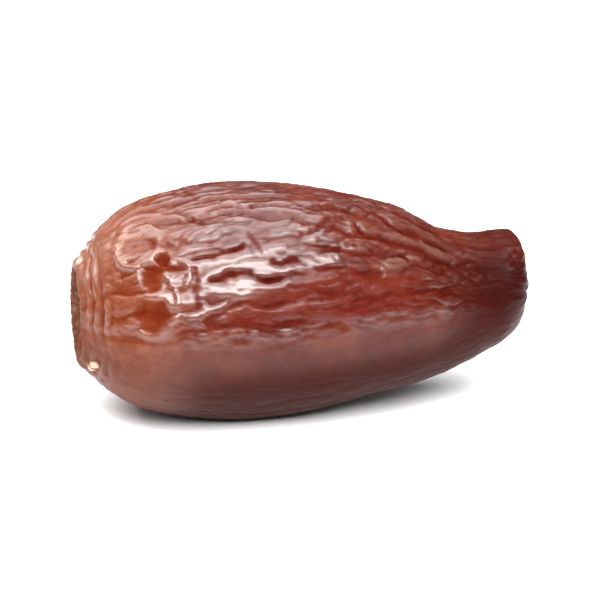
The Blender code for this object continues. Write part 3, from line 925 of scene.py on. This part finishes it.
shoulder_sheen = ramp(x, *SHOULDER_ALONG) * window(turn, *SHOULDER_ROUND)
ridge_top_sheen = ramp(height, *RIDGE_TOP_HEIGHT) * window(x, *RIDGE_TOP_ALONG) * window(turn, *RIDGE_TOP_ROUND)
finish_values = {
    "height": height, "film": film, "scar": on_scar, "fibres": fibres, "tip": on_tip, "stem_side": stem_side,
    "tip_painted_shade": tip_painted_shade, "underside_and_painted_shade": underside_and_painted_shade, "bare": RED_SHARE * bare,
    "painted_sheen": PAINTED_SHEEN_SHARE * np.maximum(shoulder_sheen, ridge_top_sheen), "fleck": on_fleck,
}
for name, values in finish_values.items():
    skin_data.attributes.new(name, "FLOAT", "POINT").data.foreach_set("value", values.astype(np.float32))
print("each point has", len(finish_values), "values for the finish")

# %% [markdown]
# ## The finish
# The skin is dried fruit skin: a thin, waxy film over dark syrupy flesh. Light goes in and comes out red,
# so the material scatters light under its surface. The film shines on the tops of the folds, and in the
# creases, where it is gone, syrup makes the skin deep red and shade is painted into its colour. A Principled
# BSDF has all of this: the flesh is its base and the film is its coat.

# %% A function that adds a node, and the skin's material
# Settings of the nodes that mix
COLOURS = {"data_type": "RGBA"}
COLOURS_MULTIPLIED = {"data_type": "RGBA", "blend_type": "MULTIPLY"}
NUMBERS = {"data_type": "FLOAT"}


def node(tree, kind, output, settings=None, steps=(), **inputs):
    """Adds a node and gives one of its outputs. Its inputs are values or other nodes' outputs, by name or by
    _number, and a colour ramp's steps are pairs of a position and a hex colour."""
    added = tree.nodes.new(kind)
    for name, value in (settings or {}).items():
        setattr(added, name, value)
    if steps:
        elements = added.color_ramp.elements
        while len(elements) < len(steps):
            elements.new(0.5)
        for element, (position, hex_colour) in zip(elements, steps):
            element.position = position
            element.color = linear(hex_colour)
    for name, value in inputs.items():
        socket = added.inputs[int(name[1:])] if name[0] == "_" else added.inputs[name.replace("_", " ")]
        if isinstance(value, bpy.types.NodeSocket):
            tree.links.new(value, socket)
        else:
            socket.default_value = value
    return added.outputs[output]


# Dried date skin: deep red creases with painted shade, browner folds, painted shade at the tip and underside,
# painted sheen on the shoulder and ridge tops, and a shine that is uneven like a thin film of wax
skin_material = bpy.data.materials.new("dried_date_skin")
skin_material.use_nodes = True
skin_data.materials.append(skin_material)
tree = skin_material.node_tree
skin_shader = tree.nodes["Principled BSDF"]
place = node(tree, "ShaderNodeTexCoord", "Object")
value = {name: node(tree, "ShaderNodeAttribute", "Fac", {"attribute_name": name}) for name in finish_values}
print("the material reads", len(value), "values of each point")

# %% Patterns of the skin
# Size in mm and detail: clouds where the flesh under the skin is thicker or thinner, mottling of the skin
# itself, specks in the scar's dry lining, and a fine grain
PATTERNS = {"clouds": (7.0, 2.0), "mottle": (1.3, 4.0), "specks": (0.8, 4.0), "grain": (0.45, 3.0)}

pattern = {
    name: node(tree, "ShaderNodeTexNoise", "Fac", Vector=place, Scale=1 / (size * MM), Detail=detail)
    for name, (size, detail) in PATTERNS.items()
}
print("patterns:", ", ".join(pattern))

# %% [markdown]
# The flesh is dark wine red in the depth of a fold and browner on its back. That dark depth is partly the
# flesh's own colour and partly painted shade. Towards the stem end and in the clouds it is thin and amber.
# Towards the tip and on the underside it is darker, and that is painted shade. Each of these is a colour
# that is mixed in by one of the values, so each can be changed alone.

# %% Colour of the flesh
# How far the mottling shifts a point towards the pads' or the folds' colour
MOTTLE_SHARE = 0.8
# Hex colours from the depth of a fold to the top of a pad, darker in the depth partly as painted shade
WINE_AND_FOLD_SHADE = ((0.0, "340602"), (0.45, "420e05"), (0.8, "48160c"), (1.0, "4a1d14"))
AMBER_AND_FOLD_SHADE = ((0.0, "591a05"), (0.6, "602812"), (1.0, "673824"))
# What is mixed over them, in order: painted shade at the tip, the worn band, painted shade below and painted
# sheen
OVER_FLESH = (("tip_painted_shade", "280503"), ("bare", "641a0e"), ("underside_and_painted_shade", "300e0a"), ("painted_sheen", "92705e"))

depth = node(tree, "ShaderNodeMapRange", "Result", Value=value["height"], From_Min=-0.5, From_Max=0.16)
shifted = node(
    tree, "ShaderNodeMath", 0, {"operation": "MULTIPLY_ADD"}, _0=pattern["mottle"], _1=MOTTLE_SHARE, _2=depth,
)
level = node(tree, "ShaderNodeMath", 0, {"operation": "SUBTRACT"}, _0=shifted, _1=MOTTLE_SHARE / 2)
wine_and_fold_shade = node(tree, "ShaderNodeValToRGB", "Color", steps=WINE_AND_FOLD_SHADE, Fac=level)
amber_and_fold_shade = node(tree, "ShaderNodeValToRGB", "Color", steps=AMBER_AND_FOLD_SHADE, Fac=level)
cloudy = node(
    tree, "ShaderNodeMapRange", "Result", Value=pattern["clouds"], From_Min=0.5, From_Max=0.72, To_Max=0.5,
)
thin = node(tree, "ShaderNodeMath", 0, {"operation": "MAXIMUM"}, _0=cloudy, _1=value["stem_side"])
flesh = node(tree, "ShaderNodeMix", "Result", COLOURS, Factor=thin, A=wine_and_fold_shade, B=amber_and_fold_shade)
for name, hex_colour in OVER_FLESH:
    flesh = node(tree, "ShaderNodeMix", "Result", COLOURS, Factor=value[name], A=flesh, B=linear(hex_colour))
spots = node(
    tree, "ShaderNodeMapRange", "Result",
    Value=pattern["mottle"], From_Min=0.35, From_Max=0.7, To_Min=0.9, To_Max=1.1,
)
flesh = node(tree, "ShaderNodeMix", "Result", COLOURS_MULTIPLIED, Factor=1.0, A=flesh, B=spots)
print("the flesh takes", len(tree.nodes), "nodes")

# %% Colour of the dry places
# How far the scar's fibres are paler and darker than its lining
FIBRE_SHARE = 0.07
LINING = ((0.3, "47271c"), (0.55, "5b3628"), (0.8, "745040"))
DRY_TIP = linear("5a3426")
PAPER = linear("bd9c88")

specked_fibres = node(
    tree, "ShaderNodeMath", 0, {"operation": "MULTIPLY_ADD"},
    _0=value["fibres"], _1=FIBRE_SHARE, _2=pattern["specks"],
)
lining = node(tree, "ShaderNodeValToRGB", "Color", steps=LINING, Fac=specked_fibres)
tip = node(tree, "ShaderNodeMapRange", "Result", Value=value["tip"], From_Min=0.4, From_Max=0.8, To_Max=0.8)
skin_colour = flesh
for share, colour in ((value["scar"], lining), (tip, DRY_TIP), (value["fleck"], PAPER)):
    skin_colour = node(tree, "ShaderNodeMix", "Result", COLOURS, Factor=share, A=skin_colour, B=colour)
tree.links.new(skin_colour, skin_shader.inputs["Base Color"])
print("with its dry places the skin takes", len(tree.nodes), "nodes")

# %% [markdown]
# The shine comes from the film alone, so the flesh under it has a low IOR and is rough, rougher still in
# the depth of the folds and in the dry scar. The coat's weight is the film's value, so the highlight
# breaks up just where the real one does.

# %% Roughness, grain, film and depth
DRY_ROUGHNESS = 0.75
# Light wanders a millimetre or two through the flesh, and red light goes the furthest
SAME_ALL_OVER = {
    "IOR": 1.12, "Subsurface Weight": 0.35, "Subsurface Radius": (1.0, 0.28, 0.1),
    "Subsurface Scale": 1.5 * MM, "Coat Roughness": 0.3, "Coat IOR": 1.7,
}

wax = node(
    tree, "ShaderNodeMapRange", "Result",
    Value=pattern["mottle"], From_Min=0.3, From_Max=0.75, To_Min=0.32, To_Max=0.44,
)
dull = node(
    tree, "ShaderNodeMapRange", "Result", Value=depth, From_Min=0.3, From_Max=0.8, To_Min=0.3, To_Max=0.0,
)
waxy = node(tree, "ShaderNodeMath", 0, {"operation": "ADD"}, _0=wax, _1=dull)
rough = node(tree, "ShaderNodeMix", "Result", NUMBERS, Factor=value["scar"], A=waxy, B=DRY_ROUGHNESS)
bump = node(tree, "ShaderNodeBump", "Normal", Height=pattern["grain"], Strength=0.3, Distance=0.04 * MM)
for name, source in (("Roughness", rough), ("Normal", bump), ("Coat Weight", value["film"])):
    tree.links.new(source, skin_shader.inputs[name])
for name, setting in SAME_ALL_OVER.items():
    skin_shader.inputs[name].default_value = setting
print("the skin's material has", len(tree.nodes), "nodes")

# %% [markdown]
# ## The stage
# The date lies on a plain white floor that runs on past the picture's edge. An image of a studio could
# light it, but two plain levels do: a bright sky that the camera alone sees, and a dimmer one that lights
# the date and shines in it, so that its sides stay dark and rich.

# %% Floor and surroundings
FLOOR_SIZE = 1.0
SKY_SEEN = 1.0
SKY_LIGHT = 0.25


def white_floor():
    """A large floor of white card."""
    mesh = bmesh.new()
    bmesh.ops.create_grid(mesh, x_segments=1, y_segments=1, size=FLOOR_SIZE / 2)
    data = bpy.data.meshes.new("floor")
    mesh.to_mesh(data)
    mesh.free()
    # White card: matt, so that the date casts a soft shadow and is not mirrored
    material = bpy.data.materials.new("white_card")
    material.use_nodes = True
    shader = material.node_tree.nodes["Principled BSDF"]
    shader.inputs["Base Color"].default_value = linear("f2f2f2")
    shader.inputs["Roughness"].default_value = 0.6
    data.materials.append(material)
    floor = bpy.data.objects.new("floor", data)
    bpy.context.scene.collection.objects.link(floor)


def surroundings():
    """A world that the camera sees at one strength, and that lights the date at another."""
    world = bpy.data.worlds.new("studio")
    world.use_nodes = True
    tree = world.node_tree
    seen = node(tree, "ShaderNodeLightPath", "Is Camera Ray")
    sky = node(tree, "ShaderNodeMix", "Result", NUMBERS, Factor=seen, A=SKY_LIGHT, B=SKY_SEEN)
    background = tree.nodes["Background"]
    background.inputs["Color"].default_value = (1.0, 1.0, 1.0, 1.0)
    tree.links.new(sky, background.inputs["Strength"])
    bpy.context.scene.world = world


white_floor()
surroundings()
print("the floor is", FLOOR_SIZE, "m wide, and the sky lights the date at a strength of", SKY_LIGHT)

# %% [markdown]
# ## The light
# Two soft boxes light the date, as on a photographer's table. A large one hangs behind it and to the stem
# side, and gives the pale shine along the top. The other stands at the front and lights the side that
# shows. Boxes that are large for the fruit give soft edges to the shadow.

# %% Soft boxes
def soft_box(name, place, aim, size, power):
    """A rectangular area light at a place in metres, turned to face a point."""
    data = bpy.data.lights.new(name, "AREA")
    data.shape = "RECTANGLE"
    data.size, data.size_y = size
    data.energy = power
    box = bpy.data.objects.new(name, data)
    box.location = place
    box.rotation_euler = (Vector(aim) - Vector(place)).to_track_quat("-Z", "Y").to_euler()
    bpy.context.scene.collection.objects.link(box)


soft_box("top", place=(-0.14, 0.11, 0.42), aim=(-0.14, 0.11, 0), size=(0.70, 0.46), power=5.7)
soft_box("front", place=(0.01, -0.38, 0.42), aim=(0, 0, 0.01), size=(0.56, 0.34), power=8.4)
print("soft boxes:", ", ".join(light.name for light in bpy.data.lights))

# %% [markdown]
# ## The camera
# The photograph looks down at the date at about 20 degrees, from a little to the stem side. The lens is
# long, as for food photographs, so the near end isn't swollen.

# %% Camera
VIEW_AZIMUTH = math.radians(-10)
VIEW_ELEVATION = math.radians(20)
# The camera's distance, the picture's width at the date and the point it aims at, in metres
VIEW_DISTANCE = 0.32
VIEW_WIDTH = 0.0634
VIEW_AIM = Vector((-0.00023, 0.0, 0.0115))
SENSOR = 36.0

towards = Vector((
    -math.sin(VIEW_AZIMUTH) * math.cos(VIEW_ELEVATION),
    math.cos(VIEW_AZIMUTH) * math.cos(VIEW_ELEVATION),
    -math.sin(VIEW_ELEVATION),
))
lens = bpy.data.cameras.new("camera")
lens.sensor_width = SENSOR
lens.lens = SENSOR * VIEW_DISTANCE / VIEW_WIDTH
lens.clip_start = 0.01
lens.clip_end = 20.0
camera = bpy.data.objects.new("camera", lens)
camera.location = VIEW_AIM - towards * VIEW_DISTANCE
camera.rotation_euler = towards.to_track_quat("-Z", "Y").to_euler()
bpy.context.scene.collection.objects.link(camera)
bpy.context.scene.camera = camera
bpy.context.scene.view_settings.view_transform = "Standard"
print("lens", round(lens.lens), "mm")
